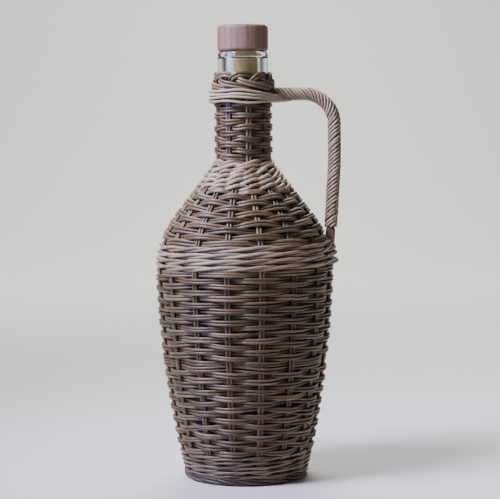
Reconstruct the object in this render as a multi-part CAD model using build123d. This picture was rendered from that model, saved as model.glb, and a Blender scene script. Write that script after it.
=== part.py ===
from build123d import *
import math
import os

# A glass bottle of about one litre, covered all over in woven willow, with a roped side handle
# and a wooden headed cork stopper. Millimetres, +Z up. The origin is the centre of the foot, and
# the handle stands on the +X side.

# Outline of the woven cover, in half section
foot_radius = 38.9
body_height = 127.5
body_radius = 56.4
body_arc_radius = 640.0
shoulder_arc_radius = 57.6
slope_angle = 38.3
collar_arc_radius = 12.0
neck_radius = 18.4

# Heights at which one weave gives way to the next
foot_top = 4.0
base_band_top = 18.4
join_height = 64.0
shoulder_band_low = 132.3
shoulder_band_top = 147.0
collar_low = 182.3
collar_top = 198.7
neck_weave_top = 242.5
border_top = 251.8

# Rounds of weave in each length of the cover
base_band_round_count = 5
lower_round_count = 13
upper_round_count = 19
shoulder_band_round_count = 4
shoulder_round_count = 9
collar_round_count = 7
neck_round_count = 12

# Willow rods
stake_diameter = 1.8
stake_depth = 2.7
stake_pairs = 16
pair_gap = 0.2
body_wall = 5.9
neck_wall = 4.8
rib_depth_share = 0.18
band_proud = 0.5

# Woven base and foot
base_top = 6.0
base_thickness = 4.0
stick_count = 4
stick_width = 3.0
stick_pitch = 3.2
spoke_diameter = 2.2
cross_length = 17.0
slit_clearance = 0.15
foot_round = 1.6

# Glass
glass_wall = 3.0
neck_glass_wall = 2.5
glass_floor = 4.5
punt_height = 5.0
rest_radius = 25.0
heel_round = 8.0
neck_glass_top = 250.6
finish_low = 252.6
finish_top = 265.5
finish_radius = 15.7
finish_inner_radius = 11.0
lip_depth = 2.7
lip_slope = 1.5
lip_round = 1.4

# Stopper
cork_diameter = 18.3
cork_length = 25.0
cork_chamfer = 1.0
cork_tenon = 4.0
cap_diameter = 31.6
cap_height = 16.3
cap_top_round = 2.5
cap_low_round = 1.8

# Side handle
handle_height = 239.3
handle_beyond_body = 0.2
handle_reach = body_radius + handle_beyond_body
handle_bend_radius = 18.8
handle_knee_height = 196.0
handle_knee_radius = 150.0
handle_diameter = 8.5
handle_strand_diameter = 1.7
handle_strands = 4
handle_turns = 6
handle_lead_in_share = 0.1
handle_wrap_lift = 10.5
handle_wrap_low = shoulder_band_top + handle_wrap_lift
handle_foot_inset = 3.4
handle_foot_reach = body_radius - handle_foot_inset
handle_foot_lift = 7.7
handle_foot_height = shoulder_band_low + handle_foot_lift
bulge_rod_diameter = 2.2

# Lashing round the neck
lashing_rod_diameter = 2.0
lashing_pitch = 2.45
lashing_turns = 3.25
lashing_low = 232.4
lashing_start_angle = -45.0

# Border round the mouth of the cover
border_radius = 19.8
border_round = 2.2
border_notch_radius = 5.0
border_notch_depth = 1.4

# Clearances
seam_gap = 0.15
seat_gap = 0.3
slot_clearance = 0.15
glass_gap = 0.3
bore_clearance = 0.05
glue_gap = 0.1
wrap_gap = 0.25
overrun = 5.0

QUARTERS_IN_TURN = 4
SAMPLES_IN_ARC = 5
HALVINGS = 40
STRAIGHT_SHARE = 1e-7

nodes = {}


def around(shape, angle):
    return shape.rotate(Axis.Z, angle)


# The outline runs up the +X side as arcs and straight runs, each tangent to the next

def outline_edges():
    foot = Vector(foot_radius, 0, 0)
    shoulder = Vector(body_radius, 0, body_height)
    chord = shoulder - foot
    inward = Vector(-chord.Z, 0, chord.X).normalized()
    sag = math.sqrt(body_arc_radius ** 2 - (chord.length / 2) ** 2)
    body_centre = (foot + shoulder) / 2 + inward * sag
    middle = (foot + shoulder) / 2 - body_centre
    body_middle = body_centre + middle.normalized() * body_arc_radius
    body = Edge.make_three_point_arc(foot, body_middle, shoulder)

    outward = (shoulder - body_centre).normalized()
    slope = math.radians(slope_angle)
    slope_outward = Vector(math.cos(slope), 0, math.sin(slope))
    shoulder_centre = shoulder - outward * shoulder_arc_radius
    between = (outward + slope_outward).normalized()
    slope_start = shoulder_centre + slope_outward * shoulder_arc_radius
    shoulder_middle = shoulder_centre + between * shoulder_arc_radius
    round_shoulder = Edge.make_three_point_arc(shoulder, shoulder_middle, slope_start)

    slope_end_radius = neck_radius + collar_arc_radius * (1 - math.cos(slope))
    run = (slope_start.X - slope_end_radius) / math.sin(slope)
    slope_end = slope_start + Vector(-math.sin(slope), 0, math.cos(slope)) * run
    straight = Edge.make_line(slope_start, slope_end)

    collar_centre = slope_end + slope_outward * collar_arc_radius
    halfway = (slope_outward + Vector(1, 0, 0)).normalized()
    collar_end = collar_centre - Vector(1, 0, 0) * collar_arc_radius
    collar_middle = collar_centre - halfway * collar_arc_radius
    collar = Edge.make_three_point_arc(slope_end, collar_middle, collar_end)

    neck_end = Vector(neck_radius, 0, border_top + overrun)
    return [body, round_shoulder, straight, collar, Edge.make_line(collar_end, neck_end)]


OUTLINE = outline_edges()
JOINTS = [0]
for outline_edge in OUTLINE:
    JOINTS.append(JOINTS[-1] + outline_edge.length)


def outline_point(station, inset):
    # A point at this length along the outline, moved in from it at right angles
    number = 0
    while number < len(OUTLINE) - 1 and station > JOINTS[number + 1]:
        number += 1
    share = (station - JOINTS[number]) / OUTLINE[number].length
    tangent = OUTLINE[number] % share
    outward = Vector(tangent.Z, 0, -tangent.X)
    return (OUTLINE[number] @ share) - outward * inset


def station_at(height, inset=0):
    # The length along the outline at which its inset copy is at this height
    low, high = 0, JOINTS[-1]
    for _ in range(HALVINGS):
        middle = (low + high) / 2
        if outline_point(middle, inset).Z < height:
            low = middle
        else:
            high = middle
    return (low + high) / 2


COLLAR_STATIONS = [station_at(collar_low), station_at(collar_top)]


def wall_at(station):
    # The cover thins from the body's wall to the neck's inside the collar band
    start, end = COLLAR_STATIONS
    share = min(max((station - start) / (end - start), 0), 1)
    return body_wall + (neck_wall - body_wall) * share


def arc_or_line(start, middle, end):
    if (middle - start).cross(end - start).length < (end - start).length ** 2 * STRAIGHT_SHARE:
        return Edge.make_line(start, end)
    return Edge.make_three_point_arc(start, middle, end)


def run(first, last, inset_at):
    # Edges along an inset copy of the outline, from one station to another
    cuts = [s for s in JOINTS + COLLAR_STATIONS if min(first, last) < s < max(first, last)]
    stations = sorted([first, last] + cuts, reverse=first > last)
    edges = []
    for start, end in zip(stations, stations[1:]):
        places = [start, (start + end) / 2, end]
        edges.append(arc_or_line(*[outline_point(s, inset_at(s)) for s in places]))
    return edges


def revolved(edges):
    return revolve(Face(Wire(edges)), Axis.Z)


def chain(points):
    return [Edge.make_line(a, b) for a, b in zip(points, points[1:])]


# Stakes stand in pairs in the middle of the cover's wall, and every second pair runs up the neck

pair_offset = (stake_diameter + pair_gap) / 2
outer_lay = stake_depth - stake_diameter / 2 - slot_clearance
inner_lay = stake_depth + stake_diameter / 2 + slot_clearance
stake_pitch_angle = 360 / stake_pairs
stake_first_angle = stake_pitch_angle / 2
stake_low = station_at(foot_top) + seat_gap
stake_long_top = station_at(neck_weave_top) - seat_gap
stake_short_top = COLLAR_STATIONS[1] - seat_gap


def stake_rod(last, side):
    path = Wire(run(stake_low, last, lambda s: stake_depth))
    section = Plane(origin=path @ 0, z_dir=path % 0) * Circle(stake_diameter / 2)
    return Pos(0, side * pair_offset, 0) * sweep(section, path=path)


def stake_angle(number):
    return stake_first_angle + number * stake_pitch_angle


def is_long(number):
    return number % 2 == 0


def make_stakes():
    for number in range(stake_pairs):
        last = stake_long_top if is_long(number) else stake_short_top
        pair = [around(stake_rod(last, side), stake_angle(number)) for side in (-1, 1)]
        nodes[f"stake_pair_{number + 1:02d}"] = Compound(children=pair)


# Each length of weave has an outer lay of rods, ribbed by its rounds, and an inner lay behind the
# stakes. The rods of the real cover change from one lay to the other between the stakes.

def ring(outer, inner):
    top = Edge.make_line(outer[-1] @ 1, inner[0] @ 0)
    bottom = Edge.make_line(inner[-1] @ 1, outer[0] @ 0)
    return revolved(outer + [top] + inner + [bottom])


def lays(low, high, round_count, proud=0):
    first = station_at(low) + seam_gap / 2
    last = station_at(high) - seam_gap / 2
    pitch = (last - first) / round_count
    groove = min(pitch * rib_depth_share, outer_lay / 2)
    ribs = []
    for number in range(round_count):
        start = first + number * pitch
        places = [(start, groove), (start + pitch / 2, 0), (start + pitch, groove)]
        ribs.append(Edge.make_three_point_arc(*[outline_point(s, i - proud) for s, i in places]))
    outer = ring(ribs, run(last, first, lambda s: outer_lay))
    inner = ring(run(first, last, lambda s: inner_lay), run(last, first, wall_at))
    return outer, inner


def make_weave():
    nodes["base_band"] = Compound(children=lays(foot_top, base_band_top, base_band_round_count))
    nodes["lower_weave"] = Compound(children=lays(base_band_top, join_height, lower_round_count))
    nodes["upper_weave"] = Compound(children=lays(join_height, shoulder_band_low, upper_round_count))
    nodes["collar_band"] = Compound(children=lays(collar_low, collar_top, collar_round_count))
    nodes["neck_weave"] = Compound(children=lays(collar_top, neck_weave_top, neck_round_count))


# Handle route: out from the neck, round one bend and down into the shoulder band

strand_radius = handle_strand_diameter / 2
core_radius = handle_diameter / 2 - handle_strand_diameter - wrap_gap
helix_radius = core_radius + wrap_gap + strand_radius
lashing_radius = neck_radius + seat_gap + lashing_rod_diameter / 2
handle_root = lashing_radius + lashing_rod_diameter / 2 + seat_gap


def handle_route():
    corners = [
        (handle_root, 0, handle_height),
        (handle_reach, 0, handle_height),
        (handle_reach, 0, handle_knee_height),
        (handle_foot_reach, 0, handle_foot_height),
    ]
    return FilletPolyline(*corners, radius=[handle_bend_radius, handle_knee_radius])


def foot_cylinder(radius, first, last):
    # A round bar on the line of the handle's lower end, between two heights
    foot = Vector(handle_foot_reach, 0, handle_foot_height)
    knee = Vector(handle_reach, 0, handle_knee_height)
    up = (knee - foot).normalized()
    start = foot + up * ((first - foot.Z) / up.Z)
    return Plane(origin=start, z_dir=up) * extrude(Circle(radius), amount=(last - first) / up.Z)


def make_shoulder():
    # The handle's lower end stands in a pocket, behind rods of the band that bulge out round it
    outer, inner = lays(shoulder_band_low, shoulder_band_top, shoulder_band_round_count, band_proud)
    first = station_at(shoulder_band_low) - overrun
    last = station_at(shoulder_band_top) + overrun
    wall = run(first, last, lambda s: outer_lay)
    low, high = wall[0] @ 0, wall[-1] @ 1
    inside = revolved(wall + chain([high, Vector(0, 0, high.Z), Vector(0, 0, low.Z), low]))
    pocket_radius = core_radius + seat_gap
    boss = foot_cylinder(pocket_radius + bulge_rod_diameter, shoulder_band_low, shoulder_band_top)
    boss = boss & Pos(0, 0, shoulder_band_low + seam_gap / 2) * Cylinder(
        body_radius * 2, shoulder_band_top - shoulder_band_low, align=(Align.CENTER, Align.CENTER, Align.MIN))
    pocket = foot_cylinder(pocket_radius, handle_foot_height - seat_gap, handle_wrap_low)
    nodes["shoulder_band"] = Compound(children=[outer + (boss - inside) - pocket, inner - pocket])
    outer, inner = lays(shoulder_band_top, collar_low, shoulder_round_count)
    nodes["shoulder_weave"] = Compound(children=[outer - pocket, inner])


def make_handle_core(route):
    section = Plane(origin=route @ 0, z_dir=route % 0) * Circle(core_radius)
    nodes["handle_core"] = sweep(section, path=route)


def biarc(start, start_way, end, end_way):
    # Two arcs that leave one station and reach the next along the given ways
    gap = end - start
    both = start_way + end_way
    spread = 2 * (1 - start_way.dot(end_way))
    if spread < STRAIGHT_SHARE ** 2:
        reach = gap.dot(gap) / (4 * gap.dot(end_way))
    else:
        reach = math.sqrt(gap.dot(both) ** 2 + spread * gap.dot(gap)) - gap.dot(both)
        reach = reach / spread
    meeting = (start + start_way * reach + end - end_way * reach) / 2
    way = (end - end_way * reach - start - start_way * reach).normalized()
    edges = []
    for here, direction, there in ((start, start_way, meeting), (meeting, way, end)):
        if (there - here).normalized().cross(direction).length < STRAIGHT_SHARE:
            edges.append(Edge.make_line(here, there))
        else:
            edges.append(Edge.make_tangent_arc(here, direction, there))
    return edges


def wound_tube(stations, diameter):
    # A straight end of one diameter, arcs from station to station and another straight end
    first, first_way = stations[0]
    last, last_way = stations[-1]
    edges = [Edge.make_line(first - first_way * diameter, first)]
    for (start, start_way), (end, end_way) in zip(stations, stations[1:]):
        edges += biarc(start, start_way, end, end_way)
    edges.append(Edge.make_line(last, last + last_way * diameter))
    path = Wire(edges)
    section = Plane(origin=path @ 0, z_dir=path % 0) * Circle(diameter / 2)
    return sweep(section, path=path), edges


def least_gap(edges, diameter, arcs_apart):
    # The least space between two turns of one tube, measured between points on its route
    points = []
    for number, edge in enumerate(edges):
        for sample in range(SAMPLES_IN_ARC):
            points.append((number, edge @ (sample / SAMPLES_IN_ARC)))
    least = min(
        (a - b).length for i, a in points for j, b in points if j - i >= arcs_apart
    )
    return least - diameter


def report_tube(name, solid, edges, diameter):
    length = sum(edge.length for edge in edges)
    expected = math.pi * (diameter / 2) ** 2 * length
    gap = least_gap(edges, diameter, QUARTERS_IN_TURN)
    print(f"{name}: least gap to itself {gap:.2f}")
    print(f"{name}: volume over section times length {solid.volume / expected:.5f}")


def lead_in(share):
    # How far round a strand has turned at this share of its run: it starts and stops gently
    if share > 1 / 2:
        return 1 - lead_in(1 - share)
    if share < handle_lead_in_share:
        return share ** 2 / (2 * handle_lead_in_share * (1 - handle_lead_in_share))
    return (share - handle_lead_in_share / 2) / (1 - handle_lead_in_share)


def run_at(turned):
    # The share of its run at which a strand has turned this far
    if turned > 1 / 2:
        return 1 - run_at(1 - turned)
    if turned < lead_in(handle_lead_in_share):
        return math.sqrt(turned * 2 * handle_lead_in_share * (1 - handle_lead_in_share))
    return turned * (1 - handle_lead_in_share) + handle_lead_in_share / 2


def strand_place(route, share, phase):
    at = (wrap_first + (wrap_last - wrap_first) * share) / route.length
    along = route % at
    outward = Vector(-along.Z, 0, along.X)
    turn = 2 * math.pi * handle_turns * lead_in(min(max(share, 0), 1)) + phase
    radial = outward * math.cos(turn) - Vector(0, 1, 0) * math.sin(turn)
    return (route @ at) + radial * helix_radius


def make_handle_strands(route):
    quarters = handle_turns * QUARTERS_IN_TURN
    step = strand_radius / (wrap_last - wrap_first) / SAMPLES_IN_ARC
    for number in range(handle_strands):
        phase = 2 * math.pi * number / handle_strands
        stations = []
        for quarter in range(quarters + 1):
            share = run_at(quarter / quarters)
            ahead = strand_place(route, share + step, phase) - strand_place(route, share - step, phase)
            stations.append((strand_place(route, share, phase), ahead.normalized()))
        solid, edges = wound_tube(stations, handle_strand_diameter)
        name = f"handle_strand_{number + 1}"
        report_tube(name, solid, edges, handle_strand_diameter)
        nodes[name] = solid


def make_lashing():
    quarters = round(lashing_turns * QUARTERS_IN_TURN)
    start_height = lashing_low + lashing_rod_diameter / 2 + lashing_pitch * lashing_turns
    fall = lashing_pitch / (2 * math.pi * lashing_radius)
    stations = []
    for quarter in range(quarters + 1):
        turns = quarter / QUARTERS_IN_TURN
        angle = math.radians(lashing_start_angle) - 2 * math.pi * turns
        place = Vector(math.cos(angle) * lashing_radius, math.sin(angle) * lashing_radius,
                       start_height - lashing_pitch * turns)
        way = Vector(math.sin(angle), -math.cos(angle), -fall).normalized()
        stations.append((place, way))
    solid, edges = wound_tube(stations, lashing_rod_diameter)
    report_tube("neck_lashing", solid, edges, lashing_rod_diameter)
    nodes["neck_lashing"] = solid


# Woven base: four slit sticks one way, four through them the other way, fanned into spokes

stick_middle = base_top - base_thickness / 2
spoke_reach = outline_point(station_at(foot_top), wall_at(0)).X - seat_gap
slit_height = spoke_diameter + slit_clearance * 2
cross_half = cross_length / 2
base_hole_radius = math.hypot(cross_half, stick_pitch * stick_count / 2) + slit_clearance


def stick_offsets():
    return [(number - (stick_count - 1) / 2) * stick_pitch for number in range(stick_count)]


def spoke_line(number):
    # One stick's free end: from the edge of the cross out to its place on the rim
    start = Vector(cross_half, stick_offsets()[number], stick_middle)
    angle = math.radians((number - (stick_count - 1) / 2) * stake_pitch_angle)
    end = Vector(math.cos(angle) * spoke_reach, math.sin(angle) * spoke_reach, stick_middle)
    return start, end


def spoke(number, radius, ahead=0):
    start, end = spoke_line(number)
    way = (end - start).normalized()
    length = (end - start).length
    bar = Plane(origin=start - way * radius, z_dir=way) * extrude(Circle(radius), amount=length + radius)
    return bar if not ahead else bar + Plane(origin=end, z_dir=way) * extrude(Circle(radius), amount=ahead)


def stick(number, height):
    # A whole stick: a flat middle piece and a round spoke at each end
    middle = Pos(0, stick_offsets()[number], stick_middle) * Box(cross_length, stick_width, height)
    far = spoke(stick_count - 1 - number, spoke_diameter / 2)
    return middle + spoke(number, spoke_diameter / 2) + around(far, 180)


def make_base():
    through = [stick(number, spoke_diameter) for number in range(stick_count)]
    nodes["base_sticks_through"] = Compound(children=through)
    slit_width = stick_pitch * (stick_count - 1) + stick_width + slit_clearance * 2
    slit = Pos(0, 0, stick_middle) * Box(slit_width, cross_length * 2, slit_height)
    split = [around(stick(number, base_thickness) - slit, 90) for number in range(stick_count)]
    nodes["base_sticks_split"] = Compound(children=split)

    radius = spoke_reach - seat_gap
    disc = Cylinder(radius, base_thickness) - Cylinder(base_hole_radius, base_thickness + overrun)
    disc = Pos(0, 0, stick_middle) * disc
    bore = spoke_diameter / 2 + slit_clearance
    spokes = [around(spoke(n, bore, overrun), 90 * side) for n in range(stick_count) for side in range(4)]
    nodes["base_weave"] = disc - spokes


def make_foot():
    inner = spoke_reach + seat_gap
    outer = outline_point(station_at(foot_top / 2), 0).X
    section = Pos((inner + outer) / 2, 0, foot_top / 2) * Rot(90, 0, 0) * RectangleRounded(
        outer - inner, foot_top - seam_gap, foot_round)
    nodes["foot_border"] = Pos(0, 0, -seam_gap / 2) * revolve(section, Axis.Z)


def make_border():
    inner = neck_radius - neck_wall
    height = border_top - neck_weave_top - seam_gap
    section = Pos((inner + border_radius) / 2, 0, border_top - height / 2) * Rot(90, 0, 0) * RectangleRounded(
        border_radius - inner, height, border_round)
    ring = revolve(section, Axis.Z)
    notch = Pos(0, 0, border_top + border_notch_radius - border_notch_depth) * Rot(0, 90, 0) * Cylinder(
        border_notch_radius, border_radius + overrun, align=(Align.CENTER, Align.CENTER, Align.MIN))
    angles = [stake_angle(n) + stake_pitch_angle for n in range(stake_pairs) if is_long(n)]
    nodes["top_border"] = ring - [around(notch, angle) for angle in angles]


# Glass: the bottle's outside follows the inside of the cover, and its finish stands clear of it

def glass_outside(station):
    return wall_at(station) + glass_gap


def glass_inside(station):
    start, end = COLLAR_STATIONS
    share = min(max((station - start) / (end - start), 0), 1)
    return glass_outside(station) + glass_wall + (neck_glass_wall - glass_wall) * share


def dome(height):
    # The floor of the bottle at this height: a low dome in the middle, then flat to the heel
    middle, rest = Vector(0, 0, height + punt_height), Vector(rest_radius, 0, height)
    return Edge.make_tangent_arc(middle, Vector(1, 0, 0), rest)


def turned(side, floor, top):
    # A solid of revolution between a side that climbs from the floor's rim and the axis
    curve = dome(floor)
    low, high = side[0] @ 0, side[-1] @ 1
    closing = chain([high, Vector(0, 0, top), curve @ 0])
    return revolved([curve, Edge.make_line(curve @ 1, low)] + side + closing)


def rim(solid, height, radius):
    # The round edge of a solid nearest to this height and radius
    rings = [edge for edge in solid.edges() if edge.geom_type == GeomType.CIRCLE]
    return min(rings, key=lambda e: abs(e.arc_center.Z - height) + abs(e.radius - radius))


def make_glass():
    bottom = base_top + glass_gap
    floor = bottom + glass_floor
    bore = cork_diameter / 2 + bore_clearance
    neck_end = station_at(neck_glass_top)
    outer = run(station_at(bottom, glass_outside(0)), neck_end, glass_outside)
    outer += chain([
        outer[-1] @ 1,
        Vector(finish_radius, 0, finish_low),
        Vector(finish_radius, 0, finish_top),
    ])
    inner = run(station_at(floor, glass_inside(0)), neck_end, glass_inside)
    inner += chain([
        inner[-1] @ 1,
        Vector(finish_inner_radius, 0, finish_low),
        Vector(finish_inner_radius, 0, finish_top - lip_depth - lip_slope),
        Vector(bore, 0, finish_top - lip_depth),
        Vector(bore, 0, finish_top),
    ])
    body = turned(outer, bottom, finish_top)
    cavity = turned(inner, floor, finish_top)
    body = fillet(rim(body, bottom, (outer[0] @ 0).X), heel_round)
    cavity = fillet(rim(cavity, floor, (inner[0] @ 0).X), heel_round - glass_wall)
    glass = body - cavity
    glass = fillet(rim(glass, finish_top, finish_radius), lip_round)
    nodes["glass_bottle"] = fillet(rim(glass, finish_top, bore), lip_round)


def make_stopper():
    cork_radius = cork_diameter / 2
    cap_low = finish_top + seat_gap
    low = cap_low - cork_length
    cork = Pos(0, 0, low) * Cylinder(
        cork_radius, cork_length + cork_tenon, align=(Align.CENTER, Align.CENTER, Align.MIN))
    nodes["stopper_cork"] = chamfer(cork.edges().group_by(Axis.Z)[0], cork_chamfer)
    cap = Pos(0, 0, cap_low) * Cylinder(
        cap_diameter / 2, cap_height, align=(Align.CENTER, Align.CENTER, Align.MIN))
    cap = fillet(cap.edges().group_by(Axis.Z)[-1], cap_top_round)
    cap = fillet(cap.edges().group_by(Axis.Z)[0], cap_low_round)
    recess = Pos(0, 0, cap_low) * Cylinder(
        cork_radius + glue_gap, (cork_tenon + glue_gap) * 2)
    nodes["stopper_cap"] = cap - recess


handle_path = handle_route()
wrap_first = handle_strand_diameter
wrap_last = handle_path.length - (handle_wrap_low - handle_foot_height) - handle_strand_diameter

make_glass()
make_stopper()
make_base()
make_foot()
make_weave()
make_shoulder()
make_border()
make_stakes()
make_handle_core(handle_path)
make_handle_strands(handle_path)
make_lashing()

os.makedirs("parts", exist_ok=True)
for name, shape in nodes.items():
    export_step(shape, os.path.join("parts", f"{name}.step"))
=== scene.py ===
import math
import random

import bpy
import numpy as np
from mathutils import Matrix, Vector


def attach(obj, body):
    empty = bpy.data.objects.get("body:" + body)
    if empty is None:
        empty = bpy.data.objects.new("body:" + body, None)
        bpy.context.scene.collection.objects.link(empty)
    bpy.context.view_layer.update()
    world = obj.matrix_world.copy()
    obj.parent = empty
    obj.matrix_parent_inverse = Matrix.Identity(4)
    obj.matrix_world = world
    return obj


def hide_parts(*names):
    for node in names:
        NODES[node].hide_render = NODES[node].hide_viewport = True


# The woven flask dressed over its fixed frame: a glass bottle in a willow cover, with a roped
# side handle and a wooden headed cork stopper. Metres, +Z up. The camera looks along +Y, and
# angles round the cover count in degrees from the front towards the handle.

bl_info = {
    "name": "Woven flask",
    "version": (1, 0, 0),
    "blender": (4, 5, 0),
    "location": "3D View > Sidebar > Woven flask",
    "description": "Weaves a willow cover, handle and fittings round a glass flask",
    "category": "Object",
}

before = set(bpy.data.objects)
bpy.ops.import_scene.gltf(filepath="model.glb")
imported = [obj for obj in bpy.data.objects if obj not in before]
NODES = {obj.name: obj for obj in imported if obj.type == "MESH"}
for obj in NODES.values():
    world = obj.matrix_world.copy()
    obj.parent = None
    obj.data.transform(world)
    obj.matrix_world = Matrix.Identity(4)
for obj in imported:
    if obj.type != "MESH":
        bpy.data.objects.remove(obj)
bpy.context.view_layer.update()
BASKET = "basket"
FULL_TURN = 360.0
HALF_TURN = 180.0
DOWN = (0.0, 0.0, -1.0)

# Outline of the cover in half section, the same as in the frame's source
foot_radius = 0.0389
body_height = 0.1275
body_radius = 0.0564
body_arc_radius = 0.640
shoulder_arc_radius = 0.0576
slope_angle = math.radians(38.3)
collar_arc_radius = 0.012
neck_radius = 0.0184
outline_top = 0.2568
outline_samples = 4000

# Heights at which one weave gives way to the next
foot_top = 0.0040
base_band_top = 0.0184
join_height = 0.0640
shoulder_band_low = 0.1323
shoulder_band_top = 0.1470
shoulder_weave_top = 0.1793
flat_rod_height = 0.1812
collar_low = 0.1823
collar_change = 0.1944
collar_top = 0.1987
neck_weave_top = 0.2425

# Rounds of weave, and how many of the upper ones are turned about at the join
base_band_rounds = 5
lower_rounds = 13
upper_rounds = 19
turned_rounds = 3
shoulder_rounds = 9
collar_low_rounds = 4
collar_top_rounds = 2
neck_rounds = 12

# Stakes stand in pairs, and every second pair runs on up the neck
stake_depth = 0.0027
stake_pairs = 16
neck_stake_pairs = 8
long_stake_angle = 11.25
stake_bottom = 0.0035
stake_short_top = 0.1975
stake_long_top = 0.2420
stake_spacing = 0.0020
stake_steps = 90
stake_bends = 5
stake_bend_reach = 0.00012
stake_bend_start = 3.6
neck_lift_run = 0.006

# Chance unevenness: least and greatest share of a rod's thickness, and the tones of the rods
stray_waves = 6
plain_rod_shares = (0.92, 1.06)
band_rod_shares = (0.93, 1.05)
even_rod_shares = (0.95, 1.05)
lashing_rod_shares = (0.95, 1.04)
strand_rod_shares = (0.96, 1.04)
tone_middle_share = 0.45
tone_spread_share = 0.17
lashing_tone_shares = (0.65, 0.95)
strand_tone_shares = (0.45, 0.80)
# The handle core's tones are dark: partly its own tone, partly painted shade that darkens the gaps
# between the strands
core_tone_and_painted_shade_shares = (0.10, 0.35)
# The base band's shift is partly its own darker tone and partly painted shade that keeps the rods low on
# the cover dark against light thrown up from the floor
base_band_tone_and_painted_shade = -0.42
shoulder_band_tone = 0.06
collar_tone = 0.10
# The border's shift is partly its own lighter golden tone and partly a painted highlight that lightens
# all its rods
border_tone_and_painted_highlight = 0.14
foot_tone = -0.06

# Plain rounds, the flat split rod under the collar, and how a rod's two ends taper
pair_spacing_share = 1.02
flat_square = 2.0
flat_swing_share = 0.10
flat_taper_share = 0.25
flat_tone_share = 0.72
flat_thickness_share = 0.45
end_shares = (0.55, 0.90)

# Slanting bands of three rods, and the twined collar
band_strands = 3
band_dive_half = 1.15
band_lay_share = 0.80
base_band_lean = 0.00040
base_band_spread = 0.00050
shoulder_band_lean = 0.00085
shoulder_band_spread = 0.00050
shoulder_band_proud = 0.0005
shoulder_band_start = 101.25
shoulder_band_turns = 4.5
shoulder_band_pitch = 0.00405
shoulder_band_first = 0.1316
shoulder_band_half = 0.00185
shoulder_band_blend = 12.0
bulge_reach = 0.0034
bulge_half_angle = 9.0
twine_rise = 0.00138
twine_depth_share = 0.95

# Border round the mouth: each long pair rises, arches over to the right, goes behind the next
# pair and comes down before the one after it. Degrees from its own stake, radius and height.
border_stops = [
    (-1.0, 0.0157, 0.2370),
    (0.0, 0.0157, 0.2405),
    (3.0, 0.0160, 0.2438),
    (7.0, 0.0170, 0.2468),
    (13.0, 0.0181, 0.2492),
    (23.0, 0.0177, 0.2508),
    (36.0, 0.0167, 0.2512),
    (48.0, 0.0157, 0.2505),
    (55.0, 0.0153, 0.2496),
    (62.0, 0.0160, 0.2486),
    (70.0, 0.0176, 0.2477),
    (78.0, 0.0188, 0.2466),
    (90.0, 0.0192, 0.2454),
    (104.0, 0.0192, 0.2445),
    (118.0, 0.0190, 0.2437),
    (132.0, 0.0184, 0.2430),
    (142.0, 0.0172, 0.2426),
    (148.0, 0.0162, 0.2424),
]
border_steps = 8

# Rolled foot: each pair comes down from the band, slants to the right and goes under
foot_stops = [
    (-4.0, 0.0358, 0.0068),
    (0.0, 0.0364, 0.0058),
    (5.0, 0.0375, 0.0048),
    (13.0, 0.0382, 0.0038),
    (22.0, 0.0380, 0.0030),
    (31.0, 0.0371, 0.0024),
    (39.0, 0.0360, 0.0023),
    (47.0, 0.0349, 0.0026),
    (52.0, 0.0342, 0.0029),
]
foot_steps = 6
roll_stray_angle = 1.2
roll_lift_share = 0.10
roll_spacing_share = 0.51

# Base: a cross of sticks, and the rounds woven on its spokes
base_sticks = 4
base_stick_pitch = 0.0032
base_stick_steps = 8
base_reach = 0.0334
base_cross = 0.0085
base_cross_step = 0.0012
base_thick_share = 1.10
base_under_share = 0.60
base_middle = 0.0042
base_stick_rod = 0.0028
base_spoke_rod = 0.0022
base_weave_inner = 0.0118
base_weave_outer = 0.0330
base_weave_rounds = 9
base_weave_rod = 0.0018
base_swing = 0.0014
base_steps = 6

# Lashing: rods go round the neck side by side and draw together under the root of the handle
lashing_heights = [0.2412, 0.2389, 0.2369, 0.2345]
lashing_meeting = [0.2380, 0.2369, 0.2358, 0.2345]
lashing_ends = [0.0240, 0.0250, 0.0262, 0.0305]
lashing_end_heights = [0.2386, 0.2380, 0.2372, 0.2358]
lashing_radius = 0.0209
lashing_draw_angle = -5.0
lashing_leave_angle = 68.0
lashing_middle_share = 0.55
lashing_middle_aside = 0.0034
lashing_end_aside = 0.0008
lashing_stop_angle = 8.0
lashing_steps = 3

# Handle: its middle line leaves the neck, bends down and enters the shoulder band
handle_angle = 90.0
handle_root = 0.0152
handle_height = 0.2393
handle_reach = 0.0566
handle_bend_radius = 0.0188
handle_knee_height = 0.196
handle_knee_blend = 0.006
handle_foot_reach = 0.0530
handle_foot_height = 0.140
handle_wrap_low = 0.1555
handle_run_steps = 29
handle_bend_steps = 40
handle_leg_steps = 79
handle_steps_per_turn = 22
handle_stray = 0.06
handle_nodes = 4
handle_core_rods = 4
handle_core_start = 0.6
handle_core_reach = 0.00128
handle_core_rod = 0.00290
handle_core_run = 0.001
handle_bare_reach = 0.00160
handle_bare_rod = 0.00335

# Noises, each with its stretch along X, Y and Z, its detail and its roughness. On the rods X
# goes round and Y goes along.
willow_patches = ((1.2, 34.0, 1.0), 3.0, 0.55)
willow_streaks = ((9.0, 42.0, 1.0), 4.0, 0.6)
willow_fibres = ((26.0, 160.0, 1.0), 2.0, 0.5)
willow_specks = ((3.0, 420.0, 1.0), 1.0, 0.4, (3.1, 1.7, 0))
glass_ripple = ((60.0, 60.0, 18.0), 2.0, 0.5)
cork_grain = ((210.0, 210.0, 90.0), 4.0, 0.6)
cork_cells = ((1100.0, 1100.0, 1100.0), 2.0, 0.5)
cork_patches = ((130.0, 130.0, 130.0), 2.0, 0.5, (5.0, 2.0, 1.0))
cork_pore_stretch = (520.0, 520.0, 260.0)
beech_figure = ((170.0, 170.0, 6.0), 3.0, 0.55)
beech_lines = ((900.0, 900.0, 16.0), 3.0, 0.6)
beech_flecks = ((1500.0, 1500.0, 260.0), 1.0, 0.5, (1.0, 4.0, 2.0))
paper_tooth = ((900.0, 900.0, 900.0), 2.0, 0.5)

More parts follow.
